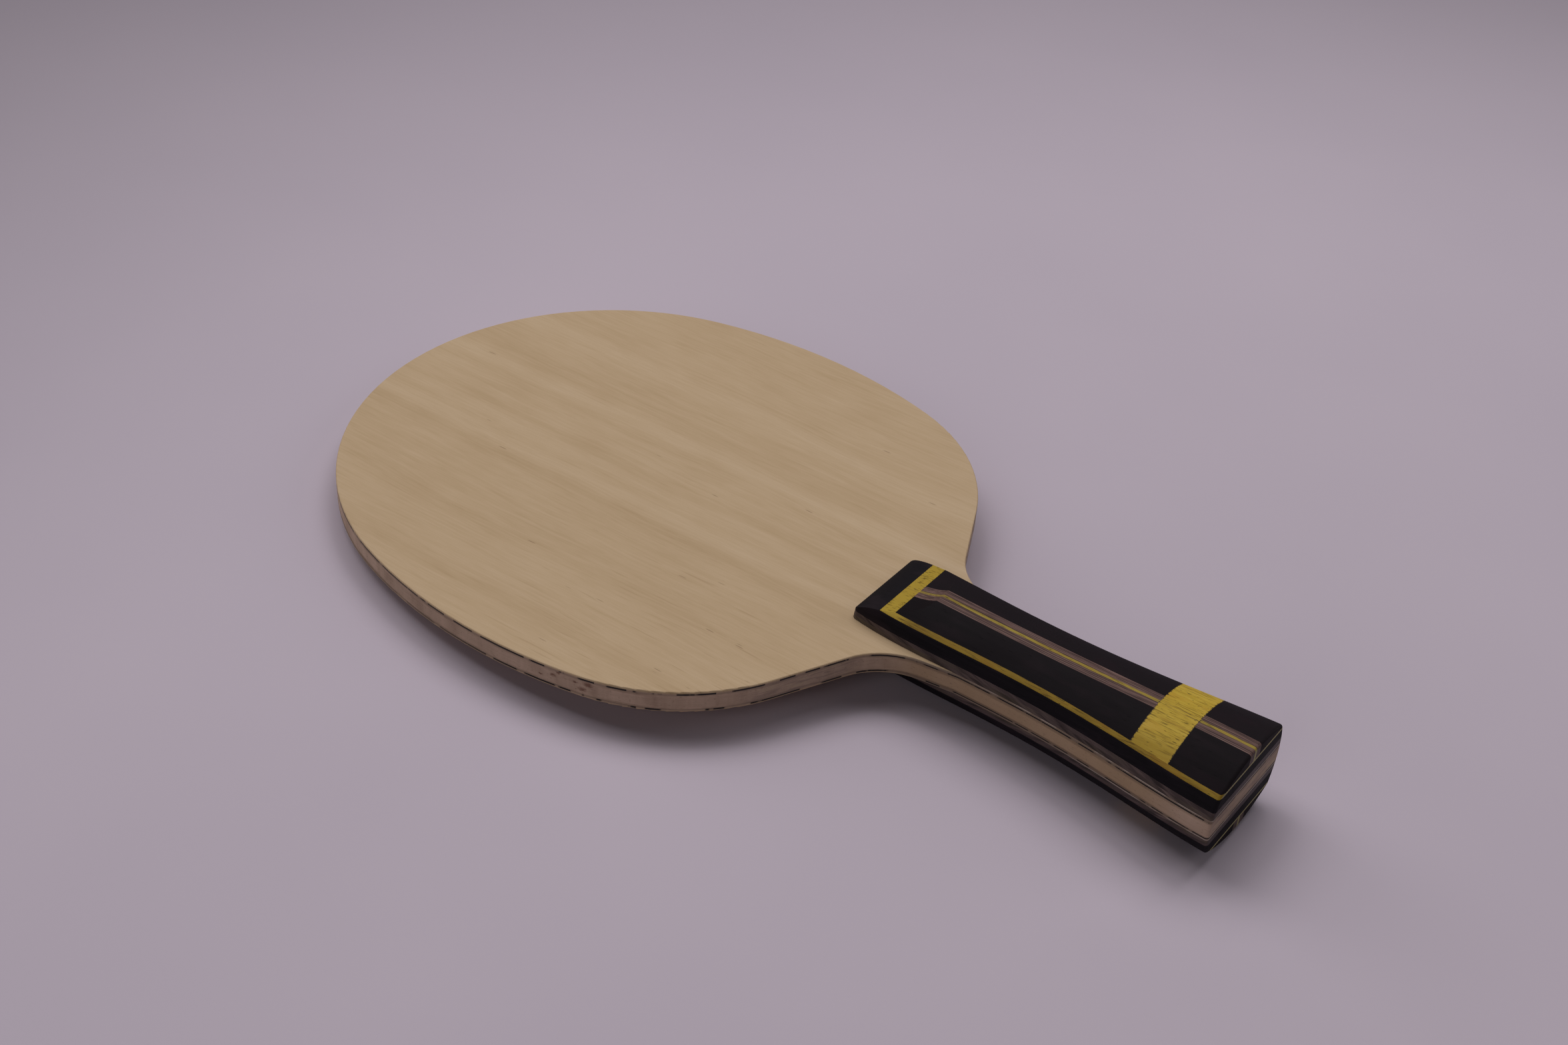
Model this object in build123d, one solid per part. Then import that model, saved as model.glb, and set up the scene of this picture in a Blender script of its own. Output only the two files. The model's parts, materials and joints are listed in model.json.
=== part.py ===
from build123d import *
from build123d.topology import SkipClean
import os
from math import atan2, degrees

# A bare table tennis blade: a seven-ply head and tongue, with a flared laminated handle scale
# glued to each face of the tongue.
#
# It is built flat. X runs along the handle, from the front end of the scales at X = 0 to the butt,
# and the tip of the head points to -X. Y is across, and Z = 0 is the middle of the blade.
# "forehand" names the face that is up, "backhand" the one below, "left" is -Y and "right" is +Y.
# At the end everything is tilted about Y and lifted, so that it lies as it does on a table, on the
# tip of the head and the belly of the butt, with the origin under the middle of its bounding box.

# ------------------------------------------------------------------ driving dimensions, mm and deg
# Head outline: arcs from the tip to the neck, each tangent to the one before it.
HEAD_LENGTH = 157.0
TIP_RADIUS = 72.5
TIP_TURN = 72.8
SIDE_RADIUS = 131.0
SIDE_TURN = 31.7
SHOULDER_RADIUS = 52.5
SHOULDER_TURN = 50.0
NECK_STRAIGHT = 19.5
NECK_RADIUS = 18.0
NECK_TURN = 55.5
NECK_TAIL = 16.0            # runs on into the handle

# Blade plies, from the middle outwards. The core's own figure is half its thickness.
CORE_HALF = 1.5
MIDDLE_PLY = 0.7
FIBRE_PLY = 0.35
FACE_PLY = 0.45
HEAD_EDGE_ROUND = 0.35      # sanded edge of the face plies
RUBBER_GAP = 3.0            # bare wood between the rubber's edge and the scales

# Handle: at each station X, the half height, then for the left and for the right the half width at
# the middle of the blade and at the edge between flank and crown. It's shaped by hand, and the
# right edges lie higher and further in.
HANDLE_LENGTH = 100.0
HANDLE_STATIONS = (
    (0.0, 11.0, (12.9, 10.8), (13.0, 10.7)),
    (16.0, 11.0, (14.05, 11.85), (13.0, 10.5)),
    (42.0, 11.0, (13.5, 11.5), (12.4, 10.0)),
    (70.0, 11.65, (15.0, 12.95), (13.9, 11.45)),
    (HANDLE_LENGTH, 12.2, (17.6, 15.9), (16.2, 14.55)),
)
RIGHT_EDGE_RISE = 1.0       # of the right edges above the left ones
LONG_EDGE_ROUND = 1.2       # between flank and crown
BUTT_EDGE_ROUND = 0.8
FRONT_CORNER_ROUND = 1.6    # upright corners at the front end of the scales

# Scale layers, from the blade's face outwards. What is left above the yellow veneer is the crown.
BASE_VENEER = 1.0           # each of two
SPACER = 3.1
YELLOW_VENEER = 0.65

# Thumb ramp at the front of each scale, as (X, Z) points: it rises from the front end, crosses the
# yellow veneer at a shallow angle, and ends at a ridge on the crown.
RAMP_POINTS = ((0.0, 5.35), (7.0, 8.1), (10.7, 8.75), (17.2, 10.95))

# Inlays in the crown: a cross band, and a stripe down the middle with a yellow line in it.
BAND_START = 75.7
BAND_END = 85.9
STRIPE_WIDTH = 5.0
STRIPE_LINE = 0.9

# ------------------------------------------------------------------ derived dimensions
BLADE_HALF = CORE_HALF + MIDDLE_PLY + FIBRE_PLY + FACE_PLY
YELLOW_BOTTOM = BLADE_HALF + 2 * BASE_VENEER + SPACER
YELLOW_TOP = YELLOW_BOTTOM + YELLOW_VENEER
BUTT_HALF_HEIGHT = HANDLE_STATIONS[-1][1]
REST_SPAN = HEAD_LENGTH - HEAD_EDGE_ROUND + HANDLE_LENGTH - BUTT_EDGE_ROUND
REST_TILT = degrees(atan2(BUTT_HALF_HEIGHT - BLADE_HALF, REST_SPAN))
FAR = 400.0                 # larger than the whole object, for cutting boxes


# ------------------------------------------------------------------ helpers
def slab(x=(-FAR, FAR), y=(-FAR, FAR), z=(-FAR, FAR)):
    """A box between the given lowest and highest X, Y and Z."""
    low, high = Vector(x[0], y[0], z[0]), Vector(x[1], y[1], z[1])
    middle, size = (low + high) / 2, high - low
    return Pos(middle) * Box(size.X, size.Y, size.Z)


# ------------------------------------------------------------------ handle envelope
def handle_section(x, half_height, left, right):
    """The handle across X: crown, flank, belly and flank, four arcs that meet at the edges."""
    left_half, left_edge = left
    right_half, right_edge = right
    left_z, right_z = YELLOW_BOTTOM, YELLOW_BOTTOM + RIGHT_EDGE_RISE
    crown = ThreePointArc((right_edge, right_z), (0, half_height), (-left_edge, left_z))
    left_flank = ThreePointArc((-left_edge, left_z), (-left_half, 0), (-left_edge, -left_z))
    belly = ThreePointArc((-left_edge, -left_z), (0, -half_height), (right_edge, -right_z))
    right_flank = ThreePointArc((right_edge, -right_z), (right_half, 0), (right_edge, right_z))
    return Plane.YZ.offset(x) * make_face([crown, left_flank, belly, right_flank])


def handle_envelope():
    """Outer form of the whole handle, tongue and both scales, before the thumb ramps."""
    body = loft([handle_section(*station) for station in HANDLE_STATIONS])
    long_edges = body.edges().filter_by(lambda edge: edge.length > HANDLE_LENGTH / 2)
    body = fillet(long_edges, LONG_EDGE_ROUND)
    butt_edges = body.faces().sort_by(Axis.X)[-1].edges()
    return fillet(butt_edges, BUTT_EDGE_ROUND)


# ------------------------------------------------------------------ blade
def blade_plan():
    """Outline of the head and neck: one half, and its mirror image."""
    tip = Vector(-HEAD_LENGTH, 0)
    crown = JernArc(tip, (0, 1), TIP_RADIUS, -TIP_TURN)
    side = JernArc(crown @ 1, crown % 1, SIDE_RADIUS, -SIDE_TURN)
    shoulder = JernArc(side @ 1, side % 1, SHOULDER_RADIUS, -SHOULDER_TURN)
    straight = Line(shoulder @ 1, shoulder @ 1 + (shoulder % 1) * NECK_STRAIGHT)
    neck = JernArc(straight @ 1, straight % 1, NECK_RADIUS, NECK_TURN)
    tail = Line(neck @ 1, neck @ 1 + (neck % 1) * NECK_TAIL)
    foot = Vector((tail @ 1).X, 0)
    across = Line(tail @ 1, foot)
    spine = Line(foot, tip)
    half = make_face([crown, side, shoulder, straight, neck, tail, across, spine])
    return half + mirror(half, about=Plane.XZ)


def ply(plan, envelope, bottom, top):
    """One sheet of the blade: the head's outline, and the tongue that fills the handle."""
    head = extrude(Pos(0, 0, bottom) * plan, top - bottom)
    return head + (envelope & slab(z=(bottom, top)))


def face_ply(plan, envelope):
    """The outer sheet, with its sanded edge. Its face is parted where a rubber's edge would run."""
    sheet = ply(plan, envelope, BLADE_HALF - FACE_PLY, BLADE_HALF)
    outer_edges = sheet.edges().filter_by_position(Axis.Z, BLADE_HALF, BLADE_HALF)
    head_edges = outer_edges.filter_by(lambda edge: edge.center().X < NECK_RADIUS)
    sheet = fillet(head_edges, HEAD_EDGE_ROUND)
    under_rubber = sheet & slab(x=(-FAR, -RUBBER_GAP))
    beside_handle = sheet & slab(x=(-RUBBER_GAP, FAR))
    with SkipClean():
        return under_rubber + beside_handle


def blade_nodes(envelope):
    plan = blade_plan()
    fibre_bottom = CORE_HALF + MIDDLE_PLY
    fibre_top = fibre_bottom + FIBRE_PLY
    half_stack = {
        "middle_ply": ply(plan, envelope, CORE_HALF, fibre_bottom),
        "fibre_ply": ply(plan, envelope, fibre_bottom, fibre_top),
        "face_ply": face_ply(plan, envelope),
    }
    nodes = {"blade_core": ply(plan, envelope, -CORE_HALF, CORE_HALF)}
    nodes.update(both_faces(half_stack))
    return nodes


# ------------------------------------------------------------------ handle scales
def scale_body(envelope):
    """One whole scale above the blade's face, with its thumb ramp and rounded front corners."""
    ramp = Spline(*RAMP_POINTS)
    front_bottom, front_top = (0, 0), RAMP_POINTS[0]
    ridge = RAMP_POINTS[-1]
    profile = make_face([
        ramp,
        Polyline(ridge, (ridge[0], FAR), (FAR, FAR), (FAR, 0), front_bottom, front_top),
    ])
    under_ramp = extrude(Plane.XZ * profile, FAR / 2, both=True)
    body = envelope & slab(z=(BLADE_HALF, FAR)) & under_ramp
    front = body.faces().sort_by(Axis.X)[0]
    corners = front.edges().filter_by(lambda edge: abs(edge.center().Y) > RAMP_POINTS[0][1])
    return fillet(corners, FRONT_CORNER_ROUND)


def crown_nodes(crown):
    """The crown's pieces: black panels, the cross band, and the stripe's strips."""
    lengths = {"front": (-FAR, BAND_START), "rear": (BAND_END, FAR)}
    stripe, line = STRIPE_WIDTH / 2, STRIPE_LINE / 2
    widths = {
        "left_panel": (-FAR, -stripe),
        "left_stripe": (-stripe, -line),
        "stripe_line": (-line, line),
        "right_stripe": (line, stripe),
        "right_panel": (stripe, FAR),
    }
    nodes = {"cross_band": crown & slab(x=(BAND_START, BAND_END))}
    for end, x in lengths.items():
        for piece, y in widths.items():
            nodes[f"{end}_{piece}"] = crown & slab(x=x, y=y)
    return nodes


def scale_nodes(envelope):
    body = scale_body(envelope)
    layers = (
        ("inner_base_veneer", BASE_VENEER),
        ("outer_base_veneer", BASE_VENEER),
        ("spacer", SPACER),
        ("yellow_veneer", YELLOW_VENEER),
    )
    nodes = {}
    bottom = BLADE_HALF
    for name, thickness in layers:
        nodes[name] = body & slab(z=(bottom, bottom + thickness))
        bottom += thickness
    nodes.update(crown_nodes(body & slab(z=(YELLOW_TOP, FAR))))
    return both_faces(nodes)


# ------------------------------------------------------------------ assembly
def both_faces(nodes):
    """Each forehand piece, and its mirror image on the backhand."""
    result = {}
    for name, shape in nodes.items():
        result[f"forehand_{name}"] = shape
        result[f"backhand_{name}"] = mirror(shape, about=Plane.XY)
    return result


def at_rest(nodes):
    """Tilt everything onto the tip and the butt, and centre it over the origin."""
    tilted = {name: Rot(0, -REST_TILT, 0) * shape for name, shape in nodes.items()}
    box = Compound(list(tilted.values())).bounding_box()
    shift = Pos(-(box.min.X + box.max.X) / 2, -(box.min.Y + box.max.Y) / 2, -box.min.Z)
    return {name: shift * shape for name, shape in tilted.items()}


def main():
    envelope = handle_envelope()
    nodes = at_rest({**blade_nodes(envelope), **scale_nodes(envelope)})
    os.makedirs("parts", exist_ok=True)
    for name, shape in nodes.items():
        export_step(shape, f"parts/{name}.step")


main()
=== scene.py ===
import json
import math

import bpy
from mathutils import Matrix, Vector

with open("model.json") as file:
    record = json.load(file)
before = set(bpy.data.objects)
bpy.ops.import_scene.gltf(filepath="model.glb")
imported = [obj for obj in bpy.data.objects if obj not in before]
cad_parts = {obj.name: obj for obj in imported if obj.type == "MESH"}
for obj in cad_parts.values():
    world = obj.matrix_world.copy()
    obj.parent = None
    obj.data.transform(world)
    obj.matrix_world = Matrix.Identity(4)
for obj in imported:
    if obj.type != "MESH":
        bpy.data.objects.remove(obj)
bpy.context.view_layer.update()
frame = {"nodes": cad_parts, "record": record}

# Where the blade lies. Its own axes are u along the handle, from the front end of the scales towards
# the butt, v across, and w out of the forehand face. All patterns are laid out in them, in millimetres.
MOUNTS = {mount["name"]: mount for mount in frame["record"]["mounts"]}
MOUNT_TO_SCALES = 0.080     # metres, from the middle of the rubber faces to the front end of the scales
MM = 1000.0                 # millimetres in a metre

# Sizes of the blade that the patterns follow, in mm. Heights are from the middle of the blade.
CORE_TOP = 1.5
FIBRE_BOTTOM = 2.2
FIBRE_TOP = 2.55
FACE_HEIGHT = 3.0
VENEER_SEAM = 4.0           # between the two base veneers
YELLOW_TOP = 8.75           # also the bottom of the crown
RAMP_END = 17.2
BAND_START = 75.7
BAND_END = 85.9
HANDLE_LENGTH = 100.0
LINE_HALF = 0.45            # half the width of the yellow centre line
STRIP_PITCH = 0.52          # of the thin strips that the stripe is built up from

# Grain of the face veneer: how far it turns off the handle's axis, how far it wanders in mm, and its
# broad light and dark bands, as (place across the head in mm, tone), where 0 is the darkest wood and
# 1 the lightest.
GRAIN_SLOPE = 0.042
GRAIN_WANDER = 4.5
BAND_SPAN = 160.0
FACE_BANDS = (
    (-72, 0.50), (-66, 0.56), (-63, 0.10), (-58, 0.60), (-52, 0.44), (-47, 0.62), (-41.5, 0.20),
    (-38, 0.50), (-35, 0.32), (-31, 0.52), (-25, 0.38), (-21, 0.54), (-17, 0.0), (-13, 1.0),
    (-8.5, 0.26), (-5, 0.84), (-1, 0.14), (2, 0.64), (5, 0.42), (8, 0.62), (11, 0.22), (15, 0.96),
    (19, 0.36), (23, 0.32), (28, 0.48), (33, 0.42), (38.5, 0.86), (42.5, 0.36), (46, 0.56), (54, 0.50),
    (62, 0.46), (72, 0.52),
)

# Small brown stains on the near edge of the head, as (u, v, w, radius) in mm.
EDGE_STAINS = (
    (-32.9, -70.5, 1.2, 1.10), (-34.2, -70.9, -0.6, 0.95), (-36.2, -71.3, 0.9, 0.45),
    (-41.7, -72.5, 0.7, 0.70), (-40.3, -72.2, 1.9, 0.50), (-44.9, -73.1, -0.4, 0.42),
)

# Colour of the black fibres where sanding has dragged them over the wood beside them.
SMEARED_BLACK = (0.020, 0.016, 0.015)

# Camera: place in metres, viewing direction and roll in degrees, and lens and sensor in mm.
CAMERA_PLACE = Vector((0.22365, -0.34107, 0.34455))
CAMERA_AZIMUTH = 33.517
CAMERA_ELEVATION = 38.594
CAMERA_ROLL = 6.075
CAMERA_LENS = 48.381
SENSOR_WIDTH = 36.0
NEAREST = 0.01              # metres; anything closer to the camera is cut off

# Floor sheet, in metres. Round a point on the X axis past the butt lies a pool of painted light, and
# between two radii the paper is painted darker, as painted shade.
FLOOR_HALF = 2.5
PAINTED_LIGHT_POOL_X = 0.19
PAINTED_LIGHT_POOL_INNER = 0.28
PAINTED_LIGHT_POOL_OUTER = 0.73
PAPER_DARKER = (0.596, 0.516, 0.603)
PAPER_LIGHTER = (0.632, 0.546, 0.632)
PAPER_IN_PAINTED_SHADE = (0.235, 0.203, 0.237)

# Lamps round the table: azimuth from +X towards +Y and elevation in degrees, and power in watts.
# Three stand high behind the blade and to the left, and three low ones fill in from the sides.
LAMPS = (
    (90, 58, 16.9), (135, 58, 14.5), (180, 58, 15.9), (180, 28, 9.3), (270, 28, 7.2), (45, 28, 7.6),
)
LAMP_DISTANCE = 2.8
LAMP_SIZE = 1.4
LAMP_COLOUR = (1.0, 0.99, 0.99)
ROOM_COLOUR = (1.0, 0.97, 1.0, 1.0)
ROOM_STRENGTH = 0.015


# ---------------------------------------------------------------------------- node graph helper
class Graph:
    """One material's nodes. Each method adds nodes and returns an output socket."""

    def __init__(self, name):
        self.material = bpy.data.materials.new(name)
        self.material.use_nodes = True
        self.tree = self.material.node_tree
        self.tree.nodes.clear()
        self.shader = self.tree.nodes.new("ShaderNodeBsdfPrincipled")
        output = self.tree.nodes.new("ShaderNodeOutputMaterial")
        self.tree.links.new(self.shader.outputs["BSDF"], output.inputs["Surface"])

    def feed(self, socket, value):
        """Links an output socket to an input, or sets the input's own value."""
        if isinstance(value, bpy.types.NodeSocket):
            self.tree.links.new(value, socket)
        else:
            socket.default_value = value

    def maths(self, operation, *values):
        node = self.tree.nodes.new("ShaderNodeMath")
        node.operation = operation
        for socket, value in zip(node.inputs, values):
            self.feed(socket, value)
        return node.outputs[0]

    def add(self, a, b):
        return self.maths("ADD", a, b)

    def subtract(self, a, b):
        return self.maths("SUBTRACT", a, b)

    def times(self, a, b):
        return self.maths("MULTIPLY", a, b)

    def total(self, *parts):
        """The sum of (value, weight) pairs."""
        weighted = [self.times(value, weight) for value, weight in parts]
        result = weighted[0]
        for part in weighted[1:]:
            result = self.add(result, part)
        return result

    def largest(self, a, b):
        return self.maths("MAXIMUM", a, b)

    def step(self, value, low, high):
        """0 at low and 1 at high, with a smooth change between. Low may be the larger one."""
        node = self.tree.nodes.new("ShaderNodeMapRange")
        node.interpolation_type = "SMOOTHSTEP"
        turned = low > high
        self.feed(node.inputs["Value"], value)
        node.inputs["From Min"].default_value = high if turned else low
        node.inputs["From Max"].default_value = low if turned else high
        node.inputs["To Min"].default_value = 1.0 if turned else 0.0
        node.inputs["To Max"].default_value = 0.0 if turned else 1.0
        return node.outputs["Result"]

    def join(self, x, y, z):
        node = self.tree.nodes.new("ShaderNodeCombineXYZ")
        for socket, value in zip(node.inputs, (x, y, z)):
            self.feed(socket, value)
        return node.outputs[0]

    def split(self, vector):
        node = self.tree.nodes.new("ShaderNodeSeparateXYZ")
        self.feed(node.inputs[0], vector)
        return node.outputs

    def noise(self, u, v, w, size, detail=2.0, roughness=0.5, distortion=0.0):
        """Noise from 0 to 1, with features about as large as the three lengths in size."""
        places = [self.maths("DIVIDE", place, length) for place, length in zip((u, v, w), size)]
        node = self.tree.nodes.new("ShaderNodeTexNoise")
        self.feed(node.inputs["Vector"], self.join(*places))
        node.inputs["Scale"].default_value = 1.0
        node.inputs["Detail"].default_value = detail
        node.inputs["Roughness"].default_value = roughness
        node.inputs["Distortion"].default_value = distortion
        return node.outputs["Fac"]

    def specks(self, u, v, w, size, share, radius):
        """Scattered specks, 1 inside and 0 outside: one in each cell of that size, kept for a share
        of the cells, with a radius given in cells."""
        places = [self.maths("DIVIDE", place, length) for place, length in zip((u, v, w), size)]
        node = self.tree.nodes.new("ShaderNodeTexVoronoi")
        self.feed(node.inputs["Vector"], self.join(*places))
        node.inputs["Scale"].default_value = 1.0
        inside = self.step(node.outputs["Distance"], radius, radius * 0.5)
        chance = self.split(node.outputs["Color"])[0]
        return self.times(inside, self.maths("LESS_THAN", chance, share))

    def tones(self, value, stops, smooth=True):
        """A colour ramp through (position, colour or grey level) stops."""
        node = self.tree.nodes.new("ShaderNodeValToRGB")
        ramp = node.color_ramp
        ramp.interpolation = "B_SPLINE" if smooth else "LINEAR"
        while len(ramp.elements) < len(stops):
            ramp.elements.new(0.5)
        for element, (position, colour) in zip(ramp.elements, stops):
            element.position = position
            grey = isinstance(colour, (int, float))
            element.color = (colour,) * 3 + (1.0,) if grey else tuple(colour) + (1.0,)
        self.feed(node.inputs["Fac"], value)
        return node.outputs["Color"]

    def mix(self, share, a, b):
        """Colour a where share is 0, and colour b where it's 1."""
        node = self.tree.nodes.new("ShaderNodeMix")
        node.data_type = "RGBA"
        node.clamp_factor = True
        self.feed(node.inputs["Factor"], share)
        for name, value in (("A", a), ("B", b)):
            socket = [s for s in node.inputs if s.name == name and s.type == "RGBA"][0]
            self.feed(socket, tuple(value) + (1.0,) if isinstance(value, tuple) else value)
        return [s for s in node.outputs if s.type == "RGBA"][0]

    def blade_space(self):
        """u, v and w of the shaded point, in millimetres."""
        forehand, backhand = MOUNTS["forehand_face"], MOUNTS["backhand_face"]
        outward = Vector(forehand["axis"])
        along = Vector((outward.z, 0, -outward.x))
        middle = (Vector(forehand["pos_m"]) + Vector(backhand["pos_m"])) / 2
        turn = Matrix((along, (0, 1, 0), outward))
        origin = middle + along * MOUNT_TO_SCALES
        node = self.tree.nodes.new("ShaderNodeMapping")
        self.feed(node.inputs["Vector"], self.tree.nodes.new("ShaderNodeTexCoord").outputs["Object"])
        node.inputs["Rotation"].default_value = turn.to_euler()
        node.inputs["Scale"].default_value = (MM, MM, MM)
        node.inputs["Location"].default_value = turn @ (-origin * MM)
        return self.split(node.outputs["Vector"])

    def dashes(self, u, v, w):
        """1 where the black fibre layer is cut along a bundle, and 0 between. Towards the tip and
        on the tongue the dashes close up. Towards the tip they also fade, most on the backhand."""
        layer = self.times(self.maths("SIGN", w), 9.0)
        weave = self.noise(u, v, layer, (4.4, 4.4, 1), detail=1.5, roughness=0.45)
        fine = self.noise(u, v, layer, (0.6, 0.6, 1), detail=2.0)
        ragged = self.add(weave, self.times(self.subtract(fine, 0.5), 0.10))
        closed = self.total((self.step(u, -30, -75), 0.10), (self.step(u, 15, 50), 0.07))
        dashes = self.step(self.subtract(ragged, closed), 0.53, 0.47)
        faded = self.add(0.25, self.times(self.step(w, 1, -1), 0.40))
        return self.times(dashes, self.subtract(1.0, self.times(faded, self.step(u, -45, -100))))

    def end_grain(self):
        """1 on a surface that faces along the handle and 0 on its flanks and faces."""
        normal = self.tree.nodes.new("ShaderNodeTexCoord").outputs["Normal"]
        facing = self.maths("ABSOLUTE", self.split(normal)[0])
        return self.step(facing, 0.75, 0.95)

    def gloss(self, specular):
        self.shader.inputs["Specular IOR Level"].default_value = specular

    def finish(self, colour, roughness, height, relief_mm):
        """Joins colour, roughness and a height map to the shader."""
        self.feed(self.shader.inputs["Base Color"], colour)
        self.feed(self.shader.inputs["Roughness"], roughness)
        bump = self.tree.nodes.new("ShaderNodeBump")
        bump.inputs["Strength"].default_value = 1.0
        bump.inputs["Distance"].default_value = relief_mm / MM
        self.feed(bump.inputs["Height"], height)
        self.feed(self.shader.inputs["Normal"], bump.outputs["Normal"])
        return self.material


def tinted(colour, factors):
    """A colour with its red, green and blue each multiplied by a factor."""
    return tuple(channel * factor for channel, factor in zip(colour, factors))


def scaled(colour, factor):
    """A colour made darker or lighter."""
    return tinted(colour, (factor, factor, factor))


# ---------------------------------------------------------------------------- materials
def face_pores(g, colour, u, v, across, side):
    """Dark pores and short dark threads: a few all over, and more towards the neck. Returns the
    colour and the pores' mask."""
    crowded = g.times(g.step(u, -95, -25), g.step(v, -12, -30))
    few = g.specks(u, across, side, (11, 1.3, 1), 0.05, 0.15)
    many = g.times(g.specks(g.add(u, 5), across, side, (9, 0.9, 1), 0.10, 0.17), crowded)
    pores = g.largest(few, many)
    colour = g.mix(g.times(pores, 0.62), colour, (0.30, 0.18, 0.10))
    dark = g.step(g.noise(u, across, g.add(side, 7), (14, 0.7, 1), detail=1.0), 0.62, 0.76)
    dark = g.times(dark, g.add(g.times(crowded, 0.35), 0.20))
    return g.mix(dark, colour, (0.44, 0.285, 0.155)), pores


def face_edge(g, colour, u, v, w):
    """The sheet's own edge, with the black fibres below it smeared on. On the tongue's sides it's
    painted brown as painted shade, with a broken whitish line of glue and dust along its outer face."""
    out = g.maths("ABSOLUTE", w)
    rim = g.step(out, FACE_HEIGHT - 0.06, FACE_HEIGHT - 0.30)
    colour = g.mix(g.times(rim, 0.15), colour, (0.50, 0.36, 0.22))
    smear = g.times(g.dashes(u, v, w), g.step(out, FIBRE_TOP + 0.11, FIBRE_TOP + 0.01))
    colour = g.mix(g.times(smear, g.step(u, 20, 8)), colour, SMEARED_BLACK)
    # Painted shade: on the tongue's sides the ply is painted dark brown.
    tongue = g.times(g.step(u, 12, 24), g.step(out, FACE_HEIGHT, FACE_HEIGHT - 0.02))
    colour = g.mix(g.times(tongue, 0.92), colour, (0.235, 0.170, 0.125))
    broken = g.noise(u, v, g.maths("SIGN", w), (6, 6, 1), detail=3.0, roughness=0.6)
    broken = g.step(broken, 0.40, 0.52)
    dust = g.times(g.times(tongue, broken), g.step(out, FACE_HEIGHT - 0.24, FACE_HEIGHT - 0.16))
    # On the backhand side the dust begins further from the front, so the painted shade shows further
    # back there.
    dust = g.times(dust, g.step(g.add(u, g.times(g.step(w, 1, -1), -25)), 28, 48))
    return g.mix(g.times(dust, 0.75), colour, (0.60, 0.52, 0.46))


def face_wood():
    """Pale veneer, sanded and bare: soft broad bands, short faint streaks along the grain, and a few
    dark pores."""
    g = Graph("face_veneer")
    u, v, w = g.blade_space()
    side = g.maths("SIGN", w)
    straight = g.subtract(g.times(v, side), g.times(g.add(u, MOUNT_TO_SCALES * MM), GRAIN_SLOPE))
    wander = g.noise(u, v, side, (70, 24, 1), detail=1.0)
    across = g.add(straight, g.times(g.subtract(wander, 0.5), GRAIN_WANDER))
    bands = g.tones(
        g.add(g.maths("DIVIDE", across, BAND_SPAN), 0.5),
        [(place / BAND_SPAN + 0.5, tone) for place, tone in FACE_BANDS],
    )
    streaks = g.noise(u, across, side, (28, 1.8, 1), detail=3.0, roughness=0.55)
    threads = g.noise(u, across, side, (10, 0.65, 1), detail=2.0, roughness=0.5)
    fibres = g.noise(u, across, w, (3.5, 0.24, 0.5), detail=3.0, roughness=0.65)
    patches = g.noise(u, v, side, (20, 13, 1), detail=3.0)
    tone = g.total(
        (g.split(bands)[0], 0.64), (streaks, 0.46), (patches, 0.30), (threads, 0.42), (fibres, 0.24),
    )
    colour = g.tones(
        g.subtract(tone, 0.53),
        [(0.0, (0.455, 0.300, 0.164)), (0.30, (0.545, 0.379, 0.221)), (0.50, (0.590, 0.419, 0.254)),
         (0.70, (0.628, 0.456, 0.288)), (1.0, (0.680, 0.512, 0.344))],
        smooth=False,
    )
    colour, pores = face_pores(g, colour, u, v, across, side)
    colour = face_edge(g, colour, u, v, w)
    roughness = g.add(0.52, g.times(fibres, 0.22))
    height = g.subtract(g.add(fibres, g.times(streaks, 0.6)), g.times(pores, 1.5))
    g.gloss(0.30)
    return g.finish(colour, roughness, height, 0.03)


def cut_ends(g, colour, u, v, w, end_colour):
    """End grain at the butt and the tip: darker, in thin dull and bright layers."""
    end_grain = g.end_grain()
    colour = g.mix(g.times(end_grain, 0.45), colour, end_colour)
    layers = g.noise(u, v, w, (4, 8, 0.55), detail=3.0, roughness=0.65, distortion=0.4)
    dull = g.times(end_grain, g.step(layers, 0.50, 0.60))
    colour = g.mix(g.times(dull, 0.50), colour, (0.215, 0.155, 0.140))
    bright = g.times(end_grain, g.step(layers, 0.47, 0.36))
    return g.mix(g.times(bright, 0.55), colour, (0.56, 0.43, 0.28))


def stained(g, colour, u, v, w, grit):
    """The brown stains on the near edge, with ragged outlines, longer along the blade."""
    for place_u, place_v, place_w, radius in EDGE_STAINS:
        offsets = [g.times(g.subtract(u, place_u), 0.6), g.subtract(v, place_v), g.subtract(w, place_w)]
        squares = [g.times(offset, offset) for offset in offsets]
        spread = g.maths("SQRT", g.add(g.add(squares[0], squares[1]), squares[2]))
        ragged = g.add(spread, g.subtract(grit, 0.5))
        stain = g.step(ragged, radius, radius * 0.2)
        colour = g.mix(g.times(stain, 0.70), colour, (0.15, 0.050, 0.028))
    return colour


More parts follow.
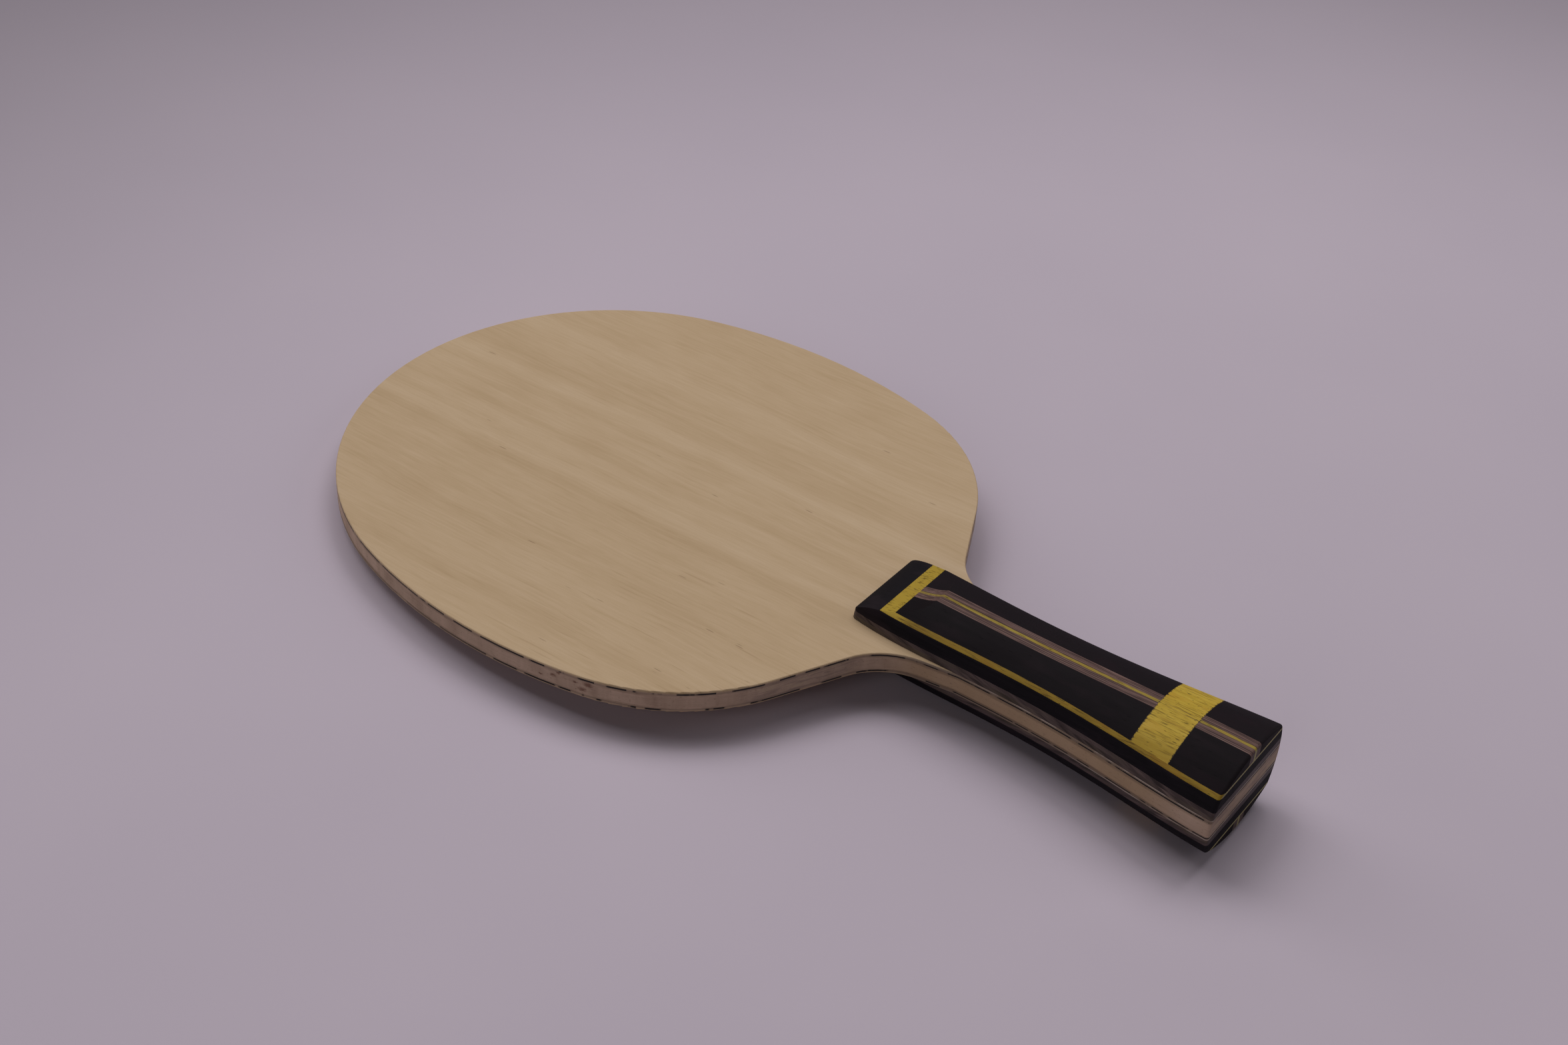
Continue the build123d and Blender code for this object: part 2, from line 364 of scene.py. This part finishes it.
def plain_wood(name, dark, middle, light, end_colour, seed):
    """Soft open wood of the inner plies, seen along the edge: blotches that stand upright in the
    ply, fine fibres, pits and stains. The tongue is warmer than the head's rim."""
    g = Graph(name)
    u, v, w = g.blade_space()
    shifted = g.add(u, seed)
    upright = g.noise(shifted, v, w, (1.9, 1.9, 16), detail=2.0, roughness=0.5)
    blotches = g.noise(shifted, v, w, (5.5, 5.5, 9), detail=2.0, roughness=0.5)
    broad = g.noise(shifted, v, w, (21, 21, 20), detail=1.0)
    along = g.noise(shifted, v, w, (14, 3, 0.5), detail=3.0, roughness=0.6)
    grit = g.noise(shifted, v, w, (0.7, 0.5, 0.3), detail=2.0)
    on_head = g.step(u, 26, 8)
    upright_share = g.add(g.times(on_head, 0.34), 0.06)
    tone = g.total((upright, upright_share), (along, 0.30), (blotches, 0.42), (broad, 0.42))
    colour = g.tones(
        g.subtract(tone, g.add(g.times(on_head, 0.17), 0.03)),
        [(0.25, dark), (0.50, middle), (0.78, light)],
        smooth=False,
    )
    on_tongue = g.times(g.step(on_head, 1.0, 0.0), g.step(u, 96, 80))
    colour = g.mix(g.times(on_tongue, 0.70), colour, (0.445, 0.297, 0.165))
    # Darker where the plies meet, more on the backhand side and further in on the tongue.
    out = g.maths("ABSOLUTE", w)
    reach = g.add(g.add(out, g.times(on_tongue, 0.4)), g.times(g.subtract(along, 0.5), 0.9))
    darkened_share = g.subtract(0.62, g.times(g.maths("SIGN", w), 0.13))
    seam = g.times(g.step(reach, CORE_TOP + 0.20, FIBRE_BOTTOM + 0.10), darkened_share)
    colour = g.mix(seam, colour, scaled(dark, 0.55))
    smear = g.times(g.dashes(u, v, w), g.step(out, FIBRE_BOTTOM - 0.14, FIBRE_BOTTOM - 0.04))
    colour = g.mix(g.times(smear, g.times(on_head, 0.8)), colour, SMEARED_BLACK)
    colour = cut_ends(g, colour, u, v, w, end_colour)
    pits = g.step(grit, 0.40, 0.26)
    colour = g.mix(g.times(pits, 0.30), colour, scaled(dark, 0.45))
    colour = stained(g, colour, u, v, w, grit)
    roughness = g.add(0.62, g.times(along, 0.2))
    height = g.subtract(g.add(along, g.times(upright, 0.4)), g.times(pits, 0.8))
    g.gloss(0.22)
    return g.finish(colour, roughness, height, 0.05)


def fibre():
    """Black woven fibre, cut through: dashes where bundles run along the edge, and wood dust in
    resin between them."""
    g = Graph("fibre_edge")
    u, v, w = g.blade_space()
    fine = g.noise(u, v, w, (0.6, 0.6, 0.15), detail=2.0)
    gap = g.mix(g.step(u, 5, 22), (0.40, 0.285, 0.200), (0.235, 0.165, 0.115))
    colour = g.mix(g.dashes(u, v, w), gap, (0.007, 0.006, 0.007))
    roughness = g.add(0.50, g.times(fine, 0.25))
    g.gloss(0.30)
    return g.finish(colour, roughness, fine, 0.03)


def base_veneer():
    """Dark grey-brown veneer with a slanting figure, olive patches and black knots. The outer of
    the two sheets is a little more lilac."""
    g = Graph("base_veneer")
    u, v, w = g.blade_space()
    out = g.maths("ABSOLUTE", w)
    outer = g.step(out, VENEER_SEAM - 0.05, VENEER_SEAM + 0.05)
    slant = g.add(g.times(out, 3.0), u)
    figure = g.noise(slant, v, outer, (5.0, 9, 0.7), detail=4.0, roughness=0.6, distortion=0.8)
    knots = g.noise(slant, v, g.add(outer, 3), (9.0, 9, 0.7), detail=2.0, distortion=1.2)
    patches = g.noise(u, v, outer, (16, 20, 0.6), detail=2.0)
    fibres = g.noise(u, v, w, (5, 0.35, 0.18), detail=3.0, roughness=0.65)
    colour = g.tones(
        g.subtract(g.total((figure, 1.15), (fibres, 0.35)), 0.27),
        [(0.22, (0.026, 0.018, 0.016)), (0.45, (0.082, 0.058, 0.052)), (0.62, (0.142, 0.101, 0.090)),
         (0.80, (0.225, 0.160, 0.130))],
        smooth=False,
    )
    olive = g.times(g.step(patches, 0.50, 0.66), 0.7)
    colour = g.mix(olive, colour, (0.125, 0.096, 0.067))
    colour = g.mix(g.times(outer, 0.30), colour, (0.098, 0.065, 0.068))
    colour = g.mix(g.times(g.step(knots, 0.57, 0.68), 0.75), colour, (0.022, 0.015, 0.014))
    colour = g.mix(g.times(g.end_grain(), 0.5), colour, (0.060, 0.043, 0.045))
    roughness = g.add(0.46, g.times(fibres, 0.22))
    g.gloss(0.18)
    return g.finish(colour, roughness, g.add(fibres, g.times(figure, 0.5)), 0.03)


def black_wood(name, deep, lifted, worn, rubbed):
    """Black dyed wood with a satin surface. It's rubbed greyer on the right, where the palm lies,
    faded in patches, and worn at the butt's rim. The cut ends are duller."""
    g = Graph(name)
    u, v, w = g.blade_space()
    grain = g.noise(u, v, w, (26, 0.8, 0.8), detail=4.0, roughness=0.6)
    fibres = g.noise(u, v, w, (3.5, 0.18, 0.18), detail=3.0, roughness=0.65)
    haze = g.noise(u, v, w, (22, 8, 8), detail=3.0, roughness=0.6)
    tone = g.total((grain, 0.50), (fibres, 0.3), (haze, 0.20))
    colour = g.tones(tone, [(0.34, deep), (0.70, lifted)], smooth=False)
    palm = g.step(g.add(v, g.times(g.subtract(haze, 0.5), 6.0)), -8, 6)
    colour = g.mix(g.times(palm, 0.8), colour, rubbed)
    faded = g.step(g.noise(u, v, w, (14, 5, 5), detail=2.0), 0.50, 0.66)
    colour = g.mix(g.times(faded, 0.28), colour, tinted(lifted, (2.1, 1.7, 1.8)))
    pores = g.specks(u, v, w, (4.0, 0.5, 0.5), 0.22, 0.2)
    colour = g.mix(g.times(pores, 0.6), colour, scaled(deep, 0.3))
    rim = g.step(g.add(u, g.times(haze, 0.8)), HANDLE_LENGTH - 0.5, HANDLE_LENGTH + 0.35)
    colour = g.mix(g.times(rim, 0.10), colour, worn)
    roughness = g.add(g.add(0.48, g.times(haze, 0.22)), g.times(fibres, 0.10))
    height = g.subtract(g.add(g.times(grain, 0.6), fibres), pores)
    g.feed(g.shader.inputs["Specular IOR Level"], g.subtract(0.09, g.times(g.end_grain(), 0.05)))
    return g.finish(colour, roughness, height, 0.025)


def centre_line(g, colour, u, v, crown, threads):
    """The yellow centre line has ragged glued edges, and is browner on the thumb ramp."""
    out = g.maths("ABSOLUTE", v)
    on_line = g.step(out, LINE_HALF + 0.05, LINE_HALF + 0.01)
    frayed = g.add(out, g.times(g.subtract(threads, 0.45), 0.55))
    frayed = g.times(g.times(g.step(frayed, LINE_HALF - 0.09, LINE_HALF + 0.01), on_line), 0.55)
    colour = g.mix(frayed, colour, (0.120, 0.075, 0.050))
    on_ramp = g.times(g.times(on_line, crown), g.step(u, RAMP_END + 0.8, RAMP_END - 0.7))
    return g.mix(g.times(on_ramp, 0.45), colour, (0.190, 0.125, 0.055))


def band_ends(g, colour, u, crown, threads):
    """The cross band's two ends, with fibres of the black wood beside it dragged across them."""
    from_start = g.maths("ABSOLUTE", g.subtract(u, BAND_START))
    from_end = g.maths("ABSOLUTE", g.subtract(u, BAND_END))
    dragged = g.times(g.subtract(threads, 0.45), 1.3)
    nearest = g.subtract(g.maths("MINIMUM", from_start, from_end), dragged)
    darkened_share = g.times(g.step(nearest, 0.16, 0.0), crown)
    return g.mix(g.times(darkened_share, 0.85), colour, (0.030, 0.022, 0.014))


def yellow_wood(name, deep, middle, light, orange_share):
    """Yellow dyed wood: golden, with orange patches, dark threads and open pores, painted darker
    towards the near edge of the crown as painted shade, and with dull end grain."""
    g = Graph(name)
    u, v, w = g.blade_space()
    streaks = g.noise(u, v, w, (9, 1.0, 0.8), detail=4.0, roughness=0.62)
    threads = g.noise(g.add(u, 11), v, w, (4.2, 0.34, 0.34), detail=2.0, roughness=0.5)
    fibres = g.noise(u, v, w, (2.2, 0.16, 0.16), detail=3.0, roughness=0.65)
    patches = g.noise(u, v, w, (11, 6, 3), detail=2.0)
    tone = g.total((streaks, 0.62), (fibres, 0.30), (g.subtract(patches, 0.5), 0.25))
    colour = g.tones(tone, [(0.28, deep), (0.46, middle), (0.70, light)], smooth=False)
    orange = g.times(g.step(patches, 0.50, 0.64), orange_share)
    colour = g.mix(orange, colour, tinted(middle, (0.84, 0.62, 0.50)))
    # The thumb ramp cuts through the veneer at a shallow angle and shows its paler face.
    crown = g.step(g.maths("ABSOLUTE", w), YELLOW_TOP, YELLOW_TOP + 0.05)
    cut_face = g.times(g.step(u, 15, 12), g.subtract(1.0, crown))
    colour = g.mix(g.times(cut_face, 0.70), colour, (0.545, 0.373, 0.046))
    dark = g.times(g.step(threads, 0.55, 0.67), 0.70)
    colour = g.mix(dark, colour, scaled(deep, 0.42))
    # Painted shade: the crown's near slope, which faces away from the lamps, is painted darker.
    near_edge_painted_shade = g.times(crown, g.step(v, -7.5, -11.5))
    colour = g.mix(g.times(near_edge_painted_shade, 0.55), colour, scaled(deep, 0.75))
    colour = centre_line(g, colour, u, v, crown, threads)
    long_pores = g.specks(u, v, w, (4.4, 0.75, 2.0), 0.24, 0.17)
    short_pores = g.specks(g.add(u, 3.0), v, w, (2.0, 0.40, 2.0), 0.14, 0.2)
    pores = g.largest(long_pores, short_pores)
    colour = g.mix(g.times(pores, 0.80), colour, (0.050, 0.032, 0.012))
    colour = band_ends(g, colour, u, crown, threads)
    colour = g.mix(g.times(g.end_grain(), 0.8), colour, (0.360, 0.330, 0.160))
    roughness = g.add(0.45, g.times(fibres, 0.2))
    height = g.subtract(g.add(g.times(streaks, 0.5), fibres), g.times(pores, 1.5))
    g.gloss(0.14)
    return g.finish(colour, roughness, height, 0.03)


def stripe_wood():
    """Lilac-brown wood built up from thin strips, with dark broken glue lines along the handle."""
    g = Graph("stripe_wood")
    u, v, w = g.blade_space()
    wander = g.noise(u, v, w, (30, 3, 3), detail=1.0)
    across = g.add(g.maths("ABSOLUTE", v), g.times(g.subtract(wander, 0.5), 0.22))
    phase = g.maths("FRACT", g.maths("DIVIDE", across, STRIP_PITCH))
    glue = g.step(g.maths("ABSOLUTE", g.subtract(phase, 0.5)), 0.31, 0.40)
    broken = g.noise(u, v, w, (13, 0.6, 5), detail=2.0, roughness=0.6)
    glue = g.times(glue, g.step(broken, 0.40, 0.50))
    streaks = g.noise(u, v, w, (18, 0.45, 0.6), detail=4.0, roughness=0.6)
    fibres = g.noise(u, v, w, (3.0, 0.14, 0.16), detail=3.0, roughness=0.65)
    colour = g.tones(
        g.subtract(g.total((streaks, 0.75), (fibres, 0.3)), 0.02),
        [(0.34, (0.058, 0.032, 0.029)), (0.52, (0.162, 0.092, 0.081)), (0.70, (0.285, 0.178, 0.152))],
        smooth=False,
    )
    colour = g.mix(g.times(glue, 0.88), colour, (0.018, 0.011, 0.012))
    colour = g.mix(g.times(g.end_grain(), 0.6), colour, (0.070, 0.045, 0.040))
    roughness = g.add(0.46, g.times(fibres, 0.22))
    g.gloss(0.14)
    return g.finish(colour, roughness, g.subtract(g.add(streaks, fibres), glue), 0.025)


def materials():
    """Each material, under the ending of the names of the nodes that it's for."""
    return {
        "blade_core": plain_wood(
            "core_wood", dark=(0.34, 0.230, 0.163), middle=(0.50, 0.355, 0.255),
            light=(0.64, 0.465, 0.345), end_colour=(0.33, 0.240, 0.185), seed=0.0),
        "middle_ply": plain_wood(
            "middle_wood", dark=(0.32, 0.215, 0.147), middle=(0.46, 0.325, 0.230),
            light=(0.60, 0.430, 0.315), end_colour=(0.30, 0.215, 0.170), seed=37.0),
        "fibre_ply": fibre(),
        "face_ply": face_wood(),
        "base_veneer": base_veneer(),
        "spacer": black_wood(
            "spacer_wood", deep=(0.0060, 0.0048, 0.0066), lifted=(0.0150, 0.0114, 0.0145),
            worn=(0.035, 0.032, 0.036), rubbed=(0.0100, 0.0080, 0.0105)),
        "yellow_veneer": yellow_wood(
            "lining_wood", deep=(0.190, 0.105, 0.012), middle=(0.288, 0.176, 0.019),
            light=(0.378, 0.253, 0.030), orange_share=0.50),
        "cross_band": yellow_wood(
            "band_wood", deep=(0.410, 0.250, 0.028), middle=(0.575, 0.388, 0.045),
            light=(0.700, 0.500, 0.088), orange_share=0.30),
        "stripe_line": yellow_wood(
            "line_wood", deep=(0.230, 0.150, 0.026), middle=(0.360, 0.254, 0.044),
            light=(0.460, 0.350, 0.066), orange_share=0.20),
        "_stripe": stripe_wood(),
        "_panel": black_wood(
            "panel_wood", deep=(0.0048, 0.0026, 0.0040), lifted=(0.0092, 0.0054, 0.0076),
            worn=(0.045, 0.038, 0.038), rubbed=(0.0135, 0.0090, 0.0118)),
    }


def dress_nodes():
    """Gives every CAD node its material."""
    by_ending = materials()
    for name, node in frame["nodes"].items():
        ending = next(ending for ending in by_ending if name.endswith(ending))
        for material_slot in node.material_slots:
            material_slot.material = by_ending[ending]


# ---------------------------------------------------------------------------- floor, lamps, camera
def floor():
    """Matt lilac-grey paper, far larger than the view, painted darker away from the middle as painted
    shade.
    """
    mesh = bpy.data.meshes.new("floor")
    corners = [(-FLOOR_HALF, -FLOOR_HALF, 0), (FLOOR_HALF, -FLOOR_HALF, 0),
               (FLOOR_HALF, FLOOR_HALF, 0), (-FLOOR_HALF, FLOOR_HALF, 0)]
    mesh.from_pydata(corners, [], [(0, 1, 2, 3)])
    sheet = bpy.data.objects.new("floor", mesh)
    bpy.context.scene.collection.objects.link(sheet)
    g = Graph("floor_paper")
    x, y, z = g.split(g.tree.nodes.new("ShaderNodeTexCoord").outputs["Object"])
    cloud = g.noise(x, y, z, (0.16, 0.16, 1), detail=3.0)
    tooth = g.noise(x, y, z, (0.0012, 0.0012, 1), detail=2.0)
    colour = g.tones(cloud, [(0.3, PAPER_DARKER), (0.7, PAPER_LIGHTER)], smooth=False)
    from_middle = g.subtract(x, PAINTED_LIGHT_POOL_X)
    away = g.maths("SQRT", g.add(g.times(from_middle, from_middle), g.times(y, y)))
    # Painted shade: the paper is painted darker away from the pool of painted light.
    colour = g.mix(g.step(away, PAINTED_LIGHT_POOL_INNER, PAINTED_LIGHT_POOL_OUTER), colour, PAPER_IN_PAINTED_SHADE)
    g.gloss(0.2)
    mesh.materials.append(g.finish(colour, 0.85, tooth, 0.02))


def outwards(azimuth, elevation):
    """The direction of that azimuth, from +X towards +Y, and elevation in degrees."""
    turn, rise = math.radians(azimuth), math.radians(elevation)
    return Vector((math.cos(turn) * math.cos(rise), math.sin(turn) * math.cos(rise), math.sin(rise)))


def lamp(azimuth, elevation, power):
    """A square soft lamp that shines at the middle of the table."""
    name = f"lamp_{azimuth}_{elevation}"
    light = bpy.data.lights.new(name, "AREA")
    light.shape = "SQUARE"
    light.size = LAMP_SIZE
    light.energy = power
    light.color = LAMP_COLOUR
    holder = bpy.data.objects.new(name, light)
    bpy.context.scene.collection.objects.link(holder)
    holder.location = outwards(azimuth, elevation) * LAMP_DISTANCE
    holder.rotation_euler = (-holder.location).to_track_quat("-Z", "Y").to_euler()


def room():
    """Faint even light from all round."""
    world = bpy.data.worlds.new("room")
    world.use_nodes = True
    background = world.node_tree.nodes["Background"]
    background.inputs["Color"].default_value = ROOM_COLOUR
    background.inputs["Strength"].default_value = ROOM_STRENGTH
    bpy.context.scene.world = world


def camera():
    """It looks down by the elevation, turned by the azimuth from +Y towards -X, and is rolled."""
    azimuth, elevation = math.radians(CAMERA_AZIMUTH), math.radians(CAMERA_ELEVATION)
    ahead = Vector((
        -math.sin(azimuth) * math.cos(elevation),
        math.cos(azimuth) * math.cos(elevation),
        -math.sin(elevation),
    ))
    level = Vector((math.cos(azimuth), math.sin(azimuth), 0))
    roll = Matrix.Rotation(-math.radians(CAMERA_ROLL), 3, ahead)
    right = roll @ level
    up = right.cross(ahead)
    data = bpy.data.cameras.new("camera")
    data.lens = CAMERA_LENS
    data.sensor_width = SENSOR_WIDTH
    data.clip_start = NEAREST
    holder = bpy.data.objects.new("camera", data)
    bpy.context.scene.collection.objects.link(holder)
    turn = Matrix((right, up, -ahead)).transposed()
    holder.matrix_world = Matrix.Translation(CAMERA_PLACE) @ turn.to_4x4()
    bpy.context.scene.camera = holder


camera()
for azimuth, elevation, power in LAMPS:
    lamp(azimuth, elevation, power)
room()
floor()
dress_nodes()
bpy.context.scene.view_settings.view_transform = "Standard"
